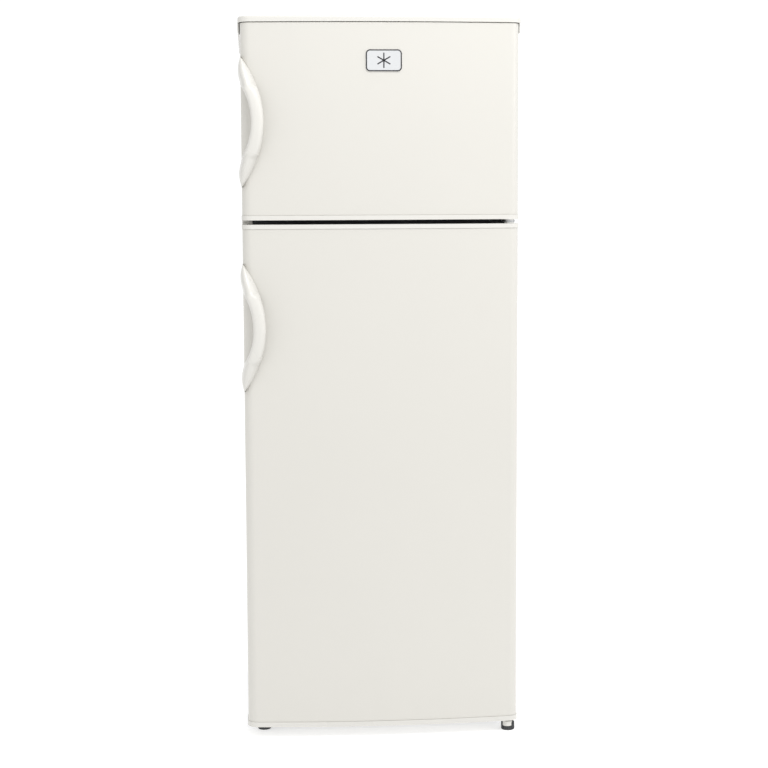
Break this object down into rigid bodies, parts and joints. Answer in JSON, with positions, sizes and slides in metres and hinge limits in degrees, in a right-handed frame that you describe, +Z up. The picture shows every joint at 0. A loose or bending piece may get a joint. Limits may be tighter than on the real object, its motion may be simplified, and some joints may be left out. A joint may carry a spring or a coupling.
{
  "type": "top freezer refrigerator",
  "caption": "Free-standing white refrigerator with a small freezer door over a tall fridge door, bowed fronts, crescent handles on the left and hinges on the right.",
  "frame": {"origin": "on the floor, under the centre of the bounding box", "axes": "+X to the right as seen from the front, the doors face -Y, +Z up"},
  "size_m": [0.5545, 0.605, 1.43],
  "materials": {
    "white_paint": "gloss",
    "white_plastic": "gloss",
    "liner_plastic": "satin",
    "foam": "matte",
    "zinc_steel": "satin",
    "hinge_steel": "satin",
    "black_paint": "satin",
    "dark_plastic": "matte",
    "gasket_rubber": "matte",
    "black_rubber": "matte",
    "copper": "satin",
    "alu": "satin",
    "clear_plastic": "gloss",
    "shelf_glass": "gloss",
    "bulb_glass": "satin",
    "badge_metal": "satin"
  },
  "bodies": {
    "cabinet": {"cabinet_shell": "white_paint", "back_panel": "zinc_steel", "bottom_pan": "zinc_steel", "cabinet_foam": "foam", "fridge_liner": "liner_plastic", "freezer_liner": "liner_plastic", "mullion_rail": "dark_plastic", "top_cover": "white_plastic", "top_hinge": "zinc_steel", "middle_hinge": "hinge_steel", "bottom_hinge": "hinge_steel", "hinge_screws": "zinc_steel", "hinge_nose": "white_plastic", "base_plate": "zinc_steel", "compressor": "black_paint", "grommets": "black_rubber", "terminal_cover": "dark_plastic", "cord_gland": "dark_plastic", "condenser": "black_paint", "condenser_wires": "black_paint", "condenser_brackets": "dark_plastic", "filter_drier": "copper", "pipes": "copper", "drip_tray": "dark_plastic", "drain_tube": "dark_plastic", "evaporator": "alu", "control_housing": "liner_plastic", "switch_housing": "liner_plastic", "lamp_bulb": "bulb_glass", "lamp_cover": "clear_plastic", "glass_shelves": "shelf_glass", "shelf_trims": "white_plastic", "freezer_shelf": "white_plastic"},
    "freezer_door": {"freezer_door_skin": "white_paint", "freezer_door_top_cap": "white_plastic", "freezer_door_bottom_cap": "white_plastic", "freezer_door_foam": "foam", "freezer_door_liner": "liner_plastic", "freezer_gasket": "gasket_rubber", "freezer_handle": "white_plastic", "freezer_bushes": "liner_plastic", "freezer_racks": "clear_plastic", "badge": "badge_metal"},
    "fridge_door": {"fridge_door_skin": "white_paint", "fridge_door_top_cap": "white_plastic", "fridge_door_bottom_cap": "white_plastic", "fridge_door_foam": "foam", "fridge_door_liner": "liner_plastic", "fridge_gasket": "gasket_rubber", "fridge_handle": "white_plastic", "fridge_bushes": "liner_plastic", "door_bins": "clear_plastic", "bottle_rack": "clear_plastic"},
    "foot_left": {"foot_left": "dark_plastic"},
    "foot_right": {"foot_right": "dark_plastic"},
    "roller_left": {"roller_left": "dark_plastic"},
    "roller_right": {"roller_right": "dark_plastic"},
    "knob": {"thermostat_knob": "white_plastic"},
    "plunger": {"switch_plunger": "white_plastic"},
    "crisper": {"crisper_drawer": "clear_plastic"}
  },
  "joints": [
    {"name": "freezer_door_hinge", "type": "hinge", "parent": "cabinet", "child": "freezer_door", "pos_m": [0.255, -0.246, 1.2], "axis": [0, 0, 1], "range_deg": [0, 120]},
    {"name": "fridge_door_hinge", "type": "hinge", "parent": "cabinet", "child": "fridge_door", "pos_m": [0.255, -0.246, 0.5], "axis": [0, 0, 1], "range_deg": [0, 120]},
    {"name": "crisper_slide", "type": "slide", "parent": "cabinet", "child": "crisper", "axis": [0, -1, 0], "range_m": [0, 0.15]},
    {"name": "switch_plunger_slide", "type": "slide", "parent": "cabinet", "child": "plunger", "axis": [0, -1, 0], "range_m": [0, 0.006]},
    {"name": "thermostat_knob_turn", "type": "hinge", "parent": "cabinet", "child": "knob", "pos_m": [0.19, -0.045, 0.888], "axis": [-1, 0, 0], "range_deg": [0, 270]},
    {"name": "foot_left_turn", "type": "hinge", "parent": "cabinet", "child": "foot_left", "pos_m": [-0.24, -0.199, 0], "axis": [0, 0, 1], "continuous": true},
    {"name": "foot_right_turn", "type": "hinge", "parent": "cabinet", "child": "foot_right", "pos_m": [0.255, -0.246, 0], "axis": [0, 0, 1], "continuous": true},
    {"name": "roller_left_spin", "type": "hinge", "parent": "cabinet", "child": "roller_left", "pos_m": [-0.24, 0.237, 0.013], "axis": [1, 0, 0], "continuous": true},
    {"name": "roller_right_spin", "type": "hinge", "parent": "cabinet", "child": "roller_right", "pos_m": [0.24, 0.237, 0.013], "axis": [1, 0, 0], "continuous": true}
  ],
  "couplings": [
    {"joint": "crisper_slide", "follows": "fridge_door_hinge", "m_per_rad": 0.0716},
    {"joint": "switch_plunger_slide", "follows": "fridge_door_hinge", "m_per_rad": 0.00286}
  ]
}
